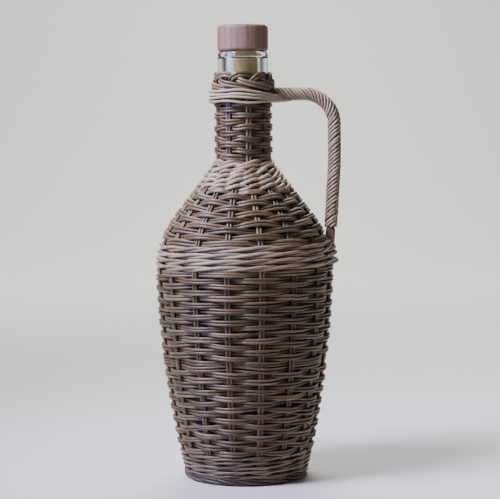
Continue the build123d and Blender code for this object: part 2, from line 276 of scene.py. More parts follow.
# Shares of the noises in each finish, and the edges between which a mark appears
tone_share = 0.62
patch_share = 0.55
streak_share = 0.30
shade_drop = 0.235
bark_stops = (0.12, 0.50, 0.92)
speck_edges = (0.66, 0.78)
speck_share = 0.35
willow_roughness = (0.30, 0.20)
willow_height_shares = (0.6, 0.4)
willow_bump = (0.35, 0.00022)
willow_specular = 0.46
glass_roughness = 0.03
glass_index = 1.5
glass_bump = (0.12, 0.0006)
# The glass under the cover is painted shade: the roughness of that dark surface, and the heights over
# which it gives way to clear glass
painted_shade_roughness = 0.7
painted_shade_edges = (0.2470, 0.2500)
pore_edges = (0.10, 0.34)
patch_edges = (0.45, 0.62)
cork_shares = (0.7, 0.3)
cork_stops = (0.30, 0.66)
cork_dark_share = 0.62
cork_roughness = 0.78
cork_cell_share = 0.4
cork_bump = (0.5, 0.0004)
cork_specular = 0.25
fleck_edges = (0.60, 0.74)
fleck_share = 0.45
fleck_height_share = 0.5
beech_shares = (0.32, 0.68)
beech_stops = (0.32, 0.56, 0.80)
beech_light_share = 1.22
beech_roughness = (0.46, 0.16)
beech_bump = (0.25, 0.0002)
beech_specular = 0.40
paper_roughness = 0.9
paper_bump = (0.05, 0.0002)

# Stage. Each light has its place, the point that it shines at, its size and its colour.
LIGHTS = {
    "key": ((-0.45, -0.26, 0.72), (0.0, 0.0, 0.225), 0.40, (0.77, 0.76, 1.0)),
    "side": ((-0.85, -0.38, 0.36), (0.0, 0.0, 0.250), 0.42, (0.36, 0.40, 1.0)),
    "fill": ((1.1, -0.55, 0.45), (0.0, 0.0, 0.16), 0.9, (1.0, 0.90, 0.80)),
    "top": ((0.0, 1.30, 1.55), (0.0, 1.30, 0.0), 1.4, (1.0, 0.99, 0.97)),
}
floor_half = 2.7
backdrop_distance = 2.4
backdrop_height = 1.1
backdrop_round = 0.80
backdrop_round_steps = 16
sky_colour = (1.0, 0.97, 0.92)
sensor_width = 36.0


# Settings that a user would change

def length(name, default, description):
    return bpy.props.FloatProperty(
        name=name, description=description, default=default, min=0.0, precision=5, unit="LENGTH")


def amount(name, default, description):
    return bpy.props.FloatProperty(name=name, description=description, default=default, min=0.0)


def angle(name, default, description):
    return bpy.props.FloatProperty(
        name=name, description=description, default=math.radians(default), subtype="ANGLE")


def count(name, default, description):
    return bpy.props.IntProperty(name=name, description=description, default=default, min=1)


def colour(name, default, description):
    return bpy.props.FloatVectorProperty(
        name=name, description=description, default=default, min=0.0, max=1.0, size=3,
        subtype="COLOR")


class FlaskWeave(bpy.types.PropertyGroup):
    body_rod: length("Body rod", 0.00176, "Thickness of the paired rods of the body")
    shoulder_rod: length("Shoulder rod", 0.00202, "Thickness of the paired rods of the shoulder")
    neck_rod: length("Neck rod", 0.00196, "Thickness of the paired rods of the neck")
    stake_rod: length("Stake", 0.00180, "Thickness of an upright stake")
    base_band_rod: length("Base band rod", 0.00166, "Thickness of the rods of the band at the foot")
    shoulder_band_rod: length("Shoulder band rod", 0.00196, "Thickness of the rods of the shoulder band")
    collar_rod: length("Collar rod", 0.00252, "Thickness of the rods of the collar")
    flat_rod: length("Flat rod", 0.00430, "Height of the flat split rod under the collar")
    swing: length("Swing", 0.00158, "How far a rod swings before and behind the stakes")
    neck_swing: length("Neck swing", 0.00128, "How far a rod of the neck swings")
    neck_lift: length("Neck lift", 0.00062, "How far the neck's rods and stakes lie out")
    wander: length("Wander", 0.00032, "How far a rod strays from its own round")
    seed: count("Seed", 11, "Starting number of the chance unevenness")
    steps: count("Steps", 12, "Sections of a rod from one stake to the next")
    sides: count("Sides", 8, "Sides of a rod's section, an even number")


class FlaskFittings(bpy.types.PropertyGroup):
    border_rod: length("Border rod", 0.00185, "Thickness of the rods of the mouth border")
    foot_rod: length("Foot rod", 0.00190, "Thickness of the rods of the rolled foot")
    lashing_rod: length("Lashing rod", 0.00164, "Thickness of the rods lashed round the neck")
    handle_strand: length("Handle strand", 0.00162, "Thickness of a strand of the handle")
    handle_strands: count("Handle strands", 8, "Strands twisted round the handle's core")
    handle_lead: length("Handle lead", 0.0197, "Run of the handle in which a strand turns once")
    handle_radius: length("Handle radius", 0.00425, "From the handle's middle to its outside")


class FlaskColours(bpy.types.PropertyGroup):
    willow_deep: colour("Willow, deep", (0.030, 0.019, 0.011), "Darkest tone of the brown rods")
    willow_mid: colour("Willow, middle", (0.114, 0.073, 0.036), "Middle tone of the brown rods")
    willow_light: colour("Willow, light", (0.265, 0.188, 0.112), "Lightest tone of the brown rods")
    band_deep: colour("Bands, deep", (0.070, 0.042, 0.026), "Darkest tone of the pale rods")
    band_mid: colour("Bands, middle", (0.280, 0.203, 0.132), "Middle tone of the pale rods")
    band_light: colour("Bands, light", (0.570, 0.460, 0.350), "Lightest tone of the pale rods")
    foot_deep: colour("Foot, deep", (0.018, 0.010, 0.008), "Darkest tone of the foot")
    foot_mid: colour("Foot, middle", (0.070, 0.041, 0.030), "Middle tone of the foot")
    foot_light: colour("Foot, light", (0.160, 0.100, 0.076), "Lightest tone of the foot")
    glass: colour("Glass", (0.960, 0.985, 0.980), "Tint of the clear glass")
    # Painted shade: the dark colour given to the glass under the cover, for its unlit inside
    glass_painted_shade: colour("Hollow", (0.050, 0.036, 0.026), "Colour of the glass that the cover keeps dark")
    cork: colour("Cork", (0.680, 0.480, 0.200), "Ground colour of the cork")
    cork_dark: colour("Cork pits", (0.200, 0.110, 0.050), "Colour of the pits in the cork")
    beech: colour("Beech", (0.225, 0.140, 0.100), "Ground colour of the stopper's head")
    beech_dark: colour("Beech grain", (0.115, 0.066, 0.045), "Colour of the grain of the head")
    floor: colour("Floor", (0.700, 0.700, 0.690), "Colour of the floor and backdrop")


class FlaskStage(bpy.types.PropertyGroup):
    distance: length("Distance", 1.020, "From the camera to the flask's own axis")
    height: length("Height", 0.2135, "Height of the camera over the floor")
    aside: length("Aside", 0.0034, "How far the camera stands to the handle's side")
    pitch: angle("Pitch", 3.987, "How far the camera looks down")
    roll: angle("Roll", 0.5, "How far the camera leans to the handle's side")
    lens: amount("Lens", 117.5, "Focal length for a sensor 36 mm wide")
    key_power: amount("Key light", 2.72, "Power of the cool light at the front on the left")
    key_spread: angle("Key spread", 62.0, "Angle in which the key light shines")
    side_power: amount("Side light", 0.86, "Power of the blue light from the left")
    side_spread: angle("Side spread", 44.0, "Angle in which the side light shines")
    fill_power: amount("Fill light", 0.8, "Power of the warm light on the handle's side")
    top_power: amount("Top light", 52.0, "Power of the light over the floor and backdrop")
    sky: amount("Surroundings", 0.10, "Strength of the even light from all round")


GROUPS = {
    "flask_weave": FlaskWeave,
    "flask_fittings": FlaskFittings,
    "flask_colours": FlaskColours,
    "flask_stage": FlaskStage,
}


class Outline:
    """The outline, as arcs and straight runs that each leave the last one smoothly"""

    def __init__(self):
        self.runs = []
        foot = np.array([foot_radius, 0.0])
        shoulder = np.array([body_radius, body_height])
        chord = shoulder - foot
        span = math.hypot(*chord)
        inward = np.array([-chord[1], chord[0]]) / span
        sag = math.sqrt(body_arc_radius ** 2 - (span / 2) ** 2)
        centre = (foot + shoulder) / 2 + inward * sag
        low = math.atan2(*(foot - centre)[::-1])
        high = math.atan2(*(shoulder - centre)[::-1])
        self.arc(centre, body_arc_radius, low, high)
        centre = shoulder - self.way(high) * shoulder_arc_radius
        self.arc(centre, shoulder_arc_radius, high, slope_angle)
        start = centre + self.way(slope_angle) * shoulder_arc_radius
        end_radius = neck_radius + collar_arc_radius * (1 - math.cos(slope_angle))
        run = (start[0] - end_radius) / math.sin(slope_angle)
        self.line(start, slope_angle, run)
        end = start + np.array([-math.sin(slope_angle), math.cos(slope_angle)]) * run
        centre = end + self.way(slope_angle) * collar_arc_radius
        self.arc(centre, -collar_arc_radius, slope_angle, 0)
        self.line(np.array([neck_radius, centre[1]]), 0, outline_top - centre[1])
        self.table = np.array(self.runs)
        self.ends = np.cumsum(self.table[:, 0])
        self.stations = np.linspace(0, self.ends[-1], outline_samples)
        self.heights = self.at(self.stations)[0][:, 1]

    @staticmethod
    def way(turn):
        return np.array([math.cos(turn), math.sin(turn)])

    def arc(self, centre, radius, first, last):
        span = abs(radius * (last - first))
        self.runs.append([span, first, last, centre[0], centre[1], radius, 0])

    def line(self, start, turn, span):
        self.runs.append([span, turn, turn, start[0], start[1], 0, 1])

    def at(self, station, inset=0.0):
        # Points (radius, height) and the way out, at these lengths along the outline
        station = np.asarray(station, float)
        number = np.clip(np.searchsorted(self.ends, station), 0, len(self.ends) - 1)
        span, first, last, across, up, radius, straight = self.table[number].T
        along = station - self.ends[number] + span
        turn = first + (last - first) * along / span
        out = np.stack([np.cos(turn), np.sin(turn)], -1)
        on = np.stack([-out[..., 1], out[..., 0]], -1)
        centre = np.stack([across, up], -1)
        place = centre + out * radius[..., None] + on * (along * straight)[..., None]
        return place - out * np.asarray(inset, float)[..., None], out

    def station(self, height):
        return float(np.interp(height, self.heights, self.stations))


OUTLINE = Outline()


def round_axis(degrees, radius, height):
    # Points at these angles, radii and heights round the flask's own axis
    turn = np.radians(degrees)
    return np.stack([radius * np.sin(turn), -radius * np.cos(turn), height], -1)


def on_cover(degrees, station, inset=0.0):
    # Points on the cover and the way out of it, at these angles and lengths along the outline
    station = np.broadcast_to(np.asarray(station, float), degrees.shape)
    inset = np.broadcast_to(np.asarray(inset, float), degrees.shape)
    place, out = OUTLINE.at(station, inset)
    return round_axis(degrees, place[:, 0], place[:, 1]), round_axis(degrees, out[:, 0], out[:, 1])


def unit(rows):
    return rows / np.linalg.norm(rows, axis=1)[:, None]


def smooth_route(stops, steps):
    # An even curve through all these stops, whose first and last rows only steer its ends
    stops = np.asarray(stops, float)
    t = np.arange(steps)[:, None] / steps
    pieces = []
    for a, b, c, d in zip(stops, stops[1:], stops[2:], stops[3:]):
        bend = (c - a) * t + (2 * a - 5 * b + 4 * c - d) * t ** 2 + (3 * b - a - 3 * c + d) * t ** 3
        pieces.append(b + bend / 2)
    return np.vstack(pieces + [stops[-2][None, :]])


def eased(value):
    value = np.clip(value, 0, 1)
    return value * value * (3 - 2 * value)


class Rods:
    """Gathers swept rods into one mesh, each with a tone of its own and a map along its length"""

    def __init__(self, name, sizes, chance):
        self.name = name
        self.sides = sizes.sides
        self.sizes = sizes
        self.chance = chance
        self.points, self.faces, self.maps, self.tones = [], [], [], []
        self.total = 0

    def share(self, shares):
        return self.chance.uniform(*shares)

    def tone(self, shift=0):
        return min(max(self.chance.gauss(tone_middle_share, tone_spread_share), 0), 1) + shift

    def stray(self, size, degrees):
        # A smooth chance unevenness round the cover, which meets itself after one turn
        waves = range(1, stray_waves + 1)
        terms = [(wave, self.chance.uniform(0, 2 * math.pi), self.chance.gauss(0, 1)) for wave in waves]
        turn = np.radians(degrees)
        total = sum(part * np.cos(wave * turn + start) for wave, start, part in terms)
        return size / math.sqrt(stray_waves / 2) * total

    def lay(self, degrees, station, depth, thickness, tone, **form):
        # Adds a rod that lies at these angles, lengths along the outline and depths in the cover
        self.add(*on_cover(degrees, station, depth), thickness, tone, closed=True, **form)

    def add(self, route, outward, thickness, tone, closed=False, flat_share=1.0):
        steps, sides = len(route), self.sides
        ahead = np.roll(route, -1, 0)
        way = unit(ahead - np.roll(route, 1, 0) if closed else np.gradient(route, axis=0))
        across = unit(np.cross(way, outward))
        out = np.cross(across, way)
        turn = math.pi + 2 * math.pi * np.arange(sides) / sides
        ring = np.cos(turn)[None, :, None] * out[:, None, :] * flat_share
        ring = ring + np.sin(turn)[None, :, None] * across[:, None, :]
        radius = np.broadcast_to(np.asarray(thickness, float) / 2, (steps,)).copy()
        if not closed:
            for place, share in enumerate(end_shares):
                radius[place] *= share
                radius[-1 - place] *= share
        points = route[:, None, :] + ring * radius[:, None, None]
        here = np.arange(steps if closed else steps - 1)[:, None] * sides
        there = (here + sides) % (steps * sides)
        side = np.arange(sides)
        beside = (side + 1) % sides
        faces = np.stack([here + side, here + beside, there + beside, there + side], -1).reshape(-1, 4)
        maps = self.maps_along(np.linalg.norm(ahead - route, axis=1)[:len(here)])
        if not closed:
            rung = np.arange(sides // 2 - 1)
            low = np.stack([rung, sides - 1 - rung, sides - 2 - rung, rung + 1], -1)
            caps = np.vstack([low, low[:, [0, 3, 2, 1]] + (steps - 1) * sides])
            faces = np.vstack([faces, caps])
            maps = np.vstack([maps, np.zeros((caps.size, 2))])
        self.points.append(points.reshape(-1, 3))
        self.faces.append(faces + self.total)
        self.maps.append(maps)
        self.tones.append(np.full(steps * sides, float(tone)))
        self.total += steps * sides

    def maps_along(self, hops):
        # Corners of the faces on the map: X is the share of a turn, Y the length from the start
        along = np.concatenate([[0], np.cumsum(hops)[:-1]])
        u, v = np.meshgrid(np.arange(self.sides) / self.sides, along)
        next_u = u + 1 / self.sides
        next_v = v + hops[:, None]
        corners = [(u, v), (next_u, v), (next_u, next_v), (u, next_v)]
        return np.stack([np.stack(corner, -1) for corner in corners], 2).reshape(-1, 2)

    def build(self, finish, *nodes):
        mesh = bpy.data.meshes.new(self.name)
        faces = np.vstack(self.faces)
        mesh.from_pydata(np.vstack(self.points), [], faces)
        mesh.polygons.foreach_set("use_smooth", np.ones(len(faces), bool))
        layer = mesh.uv_layers.new(name="along_rod")
        layer.data.foreach_set("uv", np.vstack(self.maps).astype(np.float32).ravel())
        tone = mesh.attributes.new("tone", "FLOAT", "POINT")
        tone.data.foreach_set("value", np.concatenate(self.tones).astype(np.float32))
        mesh.update()
        mesh.materials.append(material(finish))
        piece = bpy.data.objects.new(self.name, mesh)
        bpy.context.scene.collection.objects.link(piece)
        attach(piece, BASKET)
        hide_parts(*nodes)


# Materials: shader sums are written as ordinary ones

def shader_sum(operation, reflected=False):
    def joined(self, other):
        first, second = (other, self) if reflected else (self, other)
        node = self.recipe.node("ShaderNodeMath", {"operation": operation}, {0: first, 1: second})
        return Value(self.recipe, node.outputs[0])
    return joined


class Value:
    """A number that changes over a surface"""

    def __init__(self, recipe, socket):
        self.recipe = recipe
        self.socket = socket

    __add__ = shader_sum("ADD")
    __radd__ = shader_sum("ADD", reflected=True)
    __sub__ = shader_sum("SUBTRACT")
    __rsub__ = shader_sum("SUBTRACT", reflected=True)
    __mul__ = shader_sum("MULTIPLY")
    __rmul__ = shader_sum("MULTIPLY", reflected=True)


class Recipe:
    """A material and the nodes that make it up"""

    def __init__(self, name):
        self.material = bpy.data.materials.new(name)
        self.material.use_nodes = True
        self.tree = self.material.node_tree
        self.tree.nodes.clear()
        self.output = self.node("ShaderNodeOutputMaterial")

    def node(self, kind, settings=None, values=None):
        node = self.tree.nodes.new(kind)
        for name, setting in (settings or {}).items():
            if name == "stops":
                self.stops(node.color_ramp, setting)
            else:
                setattr(node, name, setting)
        for place, value in (values or {}).items():
            self.join(value, node.inputs[place])
        return node

    def stops(self, ramp, stops):
        while len(ramp.elements) < len(stops):
            ramp.elements.new(1.0)
        for element, (place, shade) in zip(ramp.elements, stops):
            element.position = place
            element.color = (*shade, 1.0)

    def join(self, value, socket):
        value = value.socket if isinstance(value, Value) else value
        if isinstance(value, bpy.types.NodeSocket):
            self.tree.links.new(value, socket)
        elif hasattr(value, "__len__") and len(socket.default_value) == len(value) + 1:
            socket.default_value = (*value, 1.0)
        else:
            socket.default_value = value

    def place(self, kind, stretch, move=(0, 0, 0)):
        coordinates = self.node("ShaderNodeTexCoord").outputs[kind]
        return self.node("ShaderNodeMapping", None, {
            "Vector": coordinates, "Location": move, "Scale": stretch}).outputs[0]

    def noise(self, kind, stretch, detail, roughness, move=(0, 0, 0)):
        node = self.node("ShaderNodeTexNoise", None, {
            "Vector": self.place(kind, stretch, move), "Scale": 1.0, "Detail": detail,
            "Roughness": roughness})
        return Value(self, node.outputs[0])

    def between(self, value, edges, ends=(0.0, 1.0), easing="SMOOTHSTEP"):
        # One end below the first edge, the other above the second, and a slope between them
        node = self.node("ShaderNodeMapRange", {"interpolation_type": easing}, {
            "Value": value, "From Min": edges[0], "From Max": edges[1],
            "To Min": ends[0], "To Max": ends[1]})
        return Value(self, node.outputs[0])

    def ramp(self, value, places, shades):
        stops = list(zip(places, shades))
        return self.node("ShaderNodeValToRGB", {"stops": stops}, {"Fac": value}).outputs["Color"]

    def blend(self, factor, first, second):
        node = self.node("ShaderNodeMix", {"data_type": "RGBA"}, {0: factor, 6: first, 7: second})
        return node.outputs[2]

    def bump(self, height, strength, distance):
        return self.node("ShaderNodeBump", None, {
            "Height": height, "Strength": strength, "Distance": distance}).outputs[0]

    def shader(self, skin, roughness, **values):
        values = {name.replace("_", " "): value for name, value in values.items()}
        return self.node("ShaderNodeBsdfPrincipled", None, {
            "Base Color": skin, "Roughness": roughness, **values}).outputs[0]

    def finish(self, shader):
        self.join(shader, self.output.inputs["Surface"])
        return self.material


def willow(name, *shades):
    recipe = Recipe(name)
    tone = Value(recipe, recipe.node("ShaderNodeAttribute", {"attribute_name": "tone"}).outputs["Fac"])
    patches = recipe.noise("UV", *willow_patches)
    streaks = recipe.noise("UV", *willow_streaks)
    fibres = recipe.noise("UV", *willow_fibres)
    shade = tone * tone_share + patches * patch_share + streaks * streak_share - shade_drop
    bark = recipe.ramp(shade, bark_stops, shades)
    specks = recipe.between(recipe.noise("UV", *willow_specks), speck_edges)
    bark = recipe.blend(specks * speck_share, bark, shades[0])
    least, more = willow_roughness
    streak_height, fibre_height = willow_height_shares
    relief = recipe.bump(streaks * streak_height + fibres * fibre_height, *willow_bump)
    return recipe.finish(recipe.shader(
        bark, least + streaks * more, Normal=relief, Specular_IOR_Level=willow_specular))


def glass(name, tint, glass_painted_shade):
    # Clear above the cover, and painted shade under it: a dark rough surface that stands in for the unlit
    # inside of the cover
    recipe = Recipe(name)
    ripple = recipe.bump(recipe.noise("Object", *glass_ripple), *glass_bump)
    clear = recipe.shader(tint, glass_roughness, IOR=glass_index, Transmission_Weight=1.0, Normal=ripple)
    # Painted shade for the unlit glass inside the cover
    shaded = recipe.shader(glass_painted_shade, painted_shade_roughness)
    place = recipe.node("ShaderNodeTexCoord").outputs["Object"]
    split = recipe.node("ShaderNodeSeparateXYZ", None, {"Vector": place})
    shown = recipe.between(split.outputs["Z"], painted_shade_edges)
    mixed = recipe.node("ShaderNodeMixShader", None, {0: shown, 1: shaded, 2: clear})
    return recipe.finish(mixed.outputs[0])


def cork(name, ground, pits):
    recipe = Recipe(name)
    grain = recipe.noise("Object", *cork_grain)
    cells = recipe.noise("Object", *cork_cells)
    pores = recipe.node("ShaderNodeTexVoronoi", None, {
        "Vector": recipe.place("Object", cork_pore_stretch), "Scale": 1.0})
    pore = recipe.between(pores.outputs["Distance"], pore_edges, ends=(1.0, 0.0))
    patch = recipe.noise("Object", *cork_patches)
    mask = pore * recipe.between(patch, patch_edges, easing="LINEAR")
    grain_share, cell_share = cork_shares
    dark = tuple(part * cork_dark_share for part in ground)
    light = recipe.ramp(grain * grain_share + cells * cell_share, cork_stops, (dark, ground))
    relief = recipe.bump(cells * cork_cell_share - mask, *cork_bump)
    return recipe.finish(recipe.shader(
        recipe.blend(mask, light, pits), cork_roughness, Normal=relief, Specular_IOR_Level=cork_specular))


def beech(name, ground, dark):
    recipe = Recipe(name)
    figure = recipe.noise("Object", *beech_figure)
    lines = recipe.noise("Object", *beech_lines)
    fleck = recipe.between(recipe.noise("Object", *beech_flecks), fleck_edges)
    figure_share, line_share = beech_shares
    pale = tuple(min(1.0, part * beech_light_share) for part in ground)
    wood = recipe.ramp(figure * figure_share + lines * line_share, beech_stops, (dark, ground, pale))
    wood = recipe.blend(fleck * fleck_share, wood, dark)
    least, more = beech_roughness
    relief = recipe.bump(lines - fleck * fleck_height_share, *beech_bump)
    return recipe.finish(recipe.shader(
        wood, least + lines * more, Normal=relief, Specular_IOR_Level=beech_specular))


def paper(name, ground):
    recipe = Recipe(name)
    tooth = recipe.bump(recipe.noise("Object", *paper_tooth), *paper_bump)
    return recipe.finish(recipe.shader(ground, paper_roughness, Normal=tooth))


# Each finish has its maker and the colours that it takes from the settings
FINISHES = {
    "willow_brown": (willow, "willow_deep", "willow_mid", "willow_light"),
    "willow_pale": (willow, "band_deep", "band_mid", "band_light"),
    "willow_dark": (willow, "foot_deep", "foot_mid", "foot_light"),
    "glass": (glass, "glass", "glass_painted_shade"),
    "cork": (cork, "cork", "cork_dark"),
    "beech": (beech, "beech", "beech_dark"),
    "floor_paper": (paper, "floor"),
}
MATERIALS = {}


def material(name):
    if name not in MATERIALS:
        shades = bpy.context.scene.flask_colours
        maker, *parts = FINISHES[name]
        MATERIALS[name] = maker(name, *[getattr(shades, part) for part in parts])
    return MATERIALS[name]


def paint_node(node, finish):
    materials = NODES[node].data.materials
    materials.clear()
    materials.append(material(finish))


def round_waves(pairs, steps):
    # Angles all round, and the swing of a rod that lies behind the long stakes
    degrees = np.arange(pairs * steps) * FULL_TURN / (pairs * steps)
    return degrees, np.cos(np.radians(degrees - long_stake_angle) * pairs / 2)


def shoulder_band_edges(degrees):
    # Lengths along the outline at which the shoulder band begins and ends, at these angles
    turns = ((degrees - shoulder_band_start) / FULL_TURN) % 1
    blend = shoulder_band_blend / FULL_TURN
    whole = math.floor(shoulder_band_turns)
    over = shoulder_band_turns - whole
    low = turns - eased(1 - (1 - turns) / blend) / 2 + (1 - eased(turns / blend)) / 2
    high = turns + whole - eased((turns - over) / blend / 2 + 1 / 2)
    first = OUTLINE.station(shoulder_band_first)
    return (first + shoulder_band_pitch * low - shoulder_band_half,
            first + shoulder_band_pitch * high + shoulder_band_half)


def plain_rounds(rods, low, high, rounds, pairs, rod, turned=0):
    # Two rods side by side go behind one stake pair and before the next, and the next round
    # the other way about. The first rounds can be turned about, as over the join.
    sizes = rods.sizes
    degrees, swing = round_waves(pairs, sizes.steps)
    begin, finish = shoulder_band_edges(degrees)
    first = finish if low == shoulder_band_top else OUTLINE.station(low)
    last = begin if high == shoulder_band_low else OUTLINE.station(high)
    pitch = (last - first) / rounds
    spacing = np.minimum(rod * pair_spacing_share, pitch / 2)
    on_neck = pairs == neck_stake_pairs
    reach = sizes.neck_swing if on_neck else sizes.swing
    middle = stake_depth - sizes.neck_lift if on_neck else stake_depth
    for number in range(rounds):
        behind = 1 if (number % 2 == 0) == (number >= turned) else -1
        drift = rods.stray(sizes.wander, degrees)
        for half in (-1, 1):
            station = first + (number + 1 / 2) * pitch + drift + half * spacing / 2
            station = station + rods.stray(sizes.wander / 2, degrees)
            rods.lay(degrees, station, middle + behind * swing * reach,
                     rod * rods.share(plain_rod_shares), rods.tone())


def flat_round(rods):
    # One wide split rod goes once round under the collar, before the long stakes
    sizes = rods.sizes
    degrees, swing = round_waves(stake_pairs, sizes.steps)
    swing = np.tanh(flat_square * swing) / math.tanh(flat_square)
    station = OUTLINE.station(flat_rod_height) + rods.stray(sizes.wander, degrees)
    depth = stake_depth - swing * (sizes.swing - sizes.flat_rod * flat_swing_share)
    thickness = sizes.flat_rod * (1 - flat_taper_share * (1 - swing) / 2)
    rods.lay(degrees, station, depth, thickness, flat_tone_share, flat_share=flat_thickness_share)


def bulge(degrees):
    # How far the shoulder band stands out round the foot of the handle
    away = (degrees - handle_angle + HALF_TURN) % FULL_TURN - HALF_TURN
    return bulge_reach * np.exp(-(away / bulge_half_angle) ** 2)


def cut_rods(rounds, steps):
    # The stretches of the rods that follow each other on one line, each once round and a lap
    return [slice(number * steps, (number + 1) * steps + 2) for number in range(math.ceil(rounds))]


def slanting_band(rods, first, pitch, start_angle, rounds, rod, lean, spread, tone_shift, proud=0,
                  around_handle=False):
    # Three rods climb round together, each before two stake pairs and behind the third. They
    # cross between the stakes, where the newest lies innermost and lowest. Their ends are
    # tucked behind.
    sizes = rods.sizes
    stake_angle = FULL_TURN / stake_pairs
    turned = np.arange(round(rounds * stake_pairs) * sizes.steps + 1) * stake_angle / sizes.steps
    degrees = turned + start_angle + long_stake_angle - stake_angle / 2
    tuck = eased(1 - turned / stake_angle) + eased(1 - (turned[-1] - turned) / stake_angle)
    for strand in range(band_strands):
        phase = (turned / stake_angle + strand) % band_strands
        away = np.abs((phase - 1) % band_strands - band_strands / 2) / band_dive_half
        dive = np.where(away < 1, (1 + np.cos(math.pi * np.minimum(away, 1))) / 2, 0)
        before = lean * (phase - 1) - spread * np.sin(math.pi * phase)
        rise = np.where(phase < 2, before, lean * np.cos(math.pi * (phase - 2)))
        lie = np.where(phase < 2, phase / 2, band_strands - phase)
        outer = sizes.swing - band_lay_share * rod * (1 - lie)
        depth = stake_depth - outer - proud + dive * (sizes.swing * 2 + proud)
        station = first + pitch * turned / FULL_TURN + rise + rods.stray(sizes.wander, degrees)
        if around_handle:
            depth = depth - bulge(degrees) * (1 - dive)
        depth = depth + tuck * (stake_depth + sizes.swing - depth)
        route, outward = on_cover(degrees, station, depth)
        for part in cut_rods(rounds, stake_pairs * sizes.steps):
            tone = rods.tone(tone_shift)
            rods.add(route[part], outward[part], rod * rods.share(band_rod_shares), tone)


def twined_rounds(rods, low, high, rounds, pairs):
    # Two rods go round together and change places between the stakes
    sizes = rods.sizes
    first, last = OUTLINE.station(low), OUTLINE.station(high)
    pitch = (last - first) / rounds
    stake_angle = FULL_TURN / pairs
    steps = sizes.steps * stake_pairs // pairs
    turned = np.arange(pairs * steps) * stake_angle / steps
    degrees = turned + long_stake_angle - stake_angle / 2
    for number in range(rounds):
        drift = rods.stray(sizes.wander, degrees)
        for strand in range(2):
            phase = (turned / stake_angle + strand) % 2
            rise = -np.cos(math.pi * phase) * twine_rise
            depth = stake_depth - sizes.swing * twine_depth_share * np.sin(math.pi * phase)
            station = first + (number + 1 / 2) * pitch + drift + rise
            tone = rods.tone(collar_tone)
            rods.lay(degrees, station, depth, sizes.collar_rod * rods.share(even_rod_shares), tone)


def rolled_pairs(rods, stops, steps, pairs, rod, tone_shift):
    # Pairs of rods that follow the same stops, each pair from its own stakes
    table = smooth_route(stops, steps)
    for number in range(pairs):
        start = long_stake_angle + number * FULL_TURN / pairs
        lift = rods.share((-1, 1)) * rod * roll_lift_share
        degrees = table[:, 0] + start + rods.share((-1, 1)) * roll_stray_angle
        route = round_axis(degrees, table[:, 1], table[:, 2] + lift)
        outward = round_axis(degrees, 1, np.zeros(len(degrees)))
        beside = unit(np.cross(outward, unit(np.gradient(route, axis=0))))
        for side in (-1, 1):
            thickness = rod * rods.share(even_rod_shares)
            aside = beside * side * rod * roll_spacing_share
            rods.add(route + aside, outward, thickness, rods.tone(tone_shift))


def start(context, draws):
    # The sizes of the weave, and chance draws that are one operator's own
    sizes = context.scene.flask_weave
    return sizes, random.Random(sizes.seed + draws)


class FLASK_OT_stakes(bpy.types.Operator):
    """Stand the paired stakes of the cover, the long ones of which run on up the neck"""

    bl_idname = "flask.stakes"
    bl_label = "Stakes"

    def execute(self, context):
        sizes, chance = start(context, draws=0)
        rods = Rods("stakes", sizes, chance)
        for number in range(stake_pairs):
            degrees = long_stake_angle + number * FULL_TURN / stake_pairs
            top = stake_long_top if number % 2 == 0 else stake_short_top
            station = np.linspace(OUTLINE.station(stake_bottom), OUTLINE.station(top), stake_steps)
            on_neck = eased((station - OUTLINE.station(collar_change)) / neck_lift_run)
            depth = stake_depth - sizes.neck_lift * on_neck
            turn = math.radians(degrees)
            aside = np.array([math.cos(turn), math.sin(turn), 0.0])
            for side in (-1, 1):
                begin = rods.share((-1, 1)) * stake_bend_start
                points, outward = on_cover(np.full(stake_steps, degrees), station, depth)
                bend = np.sin(station / station[-1] * math.pi * stake_bends + begin)
                out = side * stake_spacing / 2 + bend * stake_bend_reach
                thickness = sizes.stake_rod * rods.share(even_rod_shares)
                rods.add(points + aside * out[:, None], outward, thickness, rods.tone())
        rods.build("willow_brown", *[f"stake_pair_{number + 1:02d}" for number in range(stake_pairs)])
        return {"FINISHED"}


class FLASK_OT_weave(bpy.types.Operator):
    """Weave the plain rounds of the body, shoulder and neck"""

    bl_idname = "flask.weave"
    bl_label = "Plain weave"

    def execute(self, context):
        sizes, chance = start(context, draws=1)
        body, neck, shoulder = sizes.body_rod, sizes.neck_rod, sizes.shoulder_rod
        full = stake_pairs
        lengths = [
            ("lower_weave", base_band_top, join_height, lower_rounds, full, body),
            ("upper_weave", join_height, shoulder_band_low, upper_rounds, full, body, turned_rounds),
            ("neck_weave", collar_top, neck_weave_top, neck_rounds, neck_stake_pairs, neck),
            ("shoulder_weave", shoulder_band_top, shoulder_weave_top, shoulder_rounds, full, shoulder),
        ]
        for name, *places in lengths:
            rods = Rods(f"{name}_rods", sizes, chance)
            plain_rounds(rods, *places)
            if name == "shoulder_weave":
                flat_round(rods)
            rods.build("willow_brown", name)
        return {"FINISHED"}


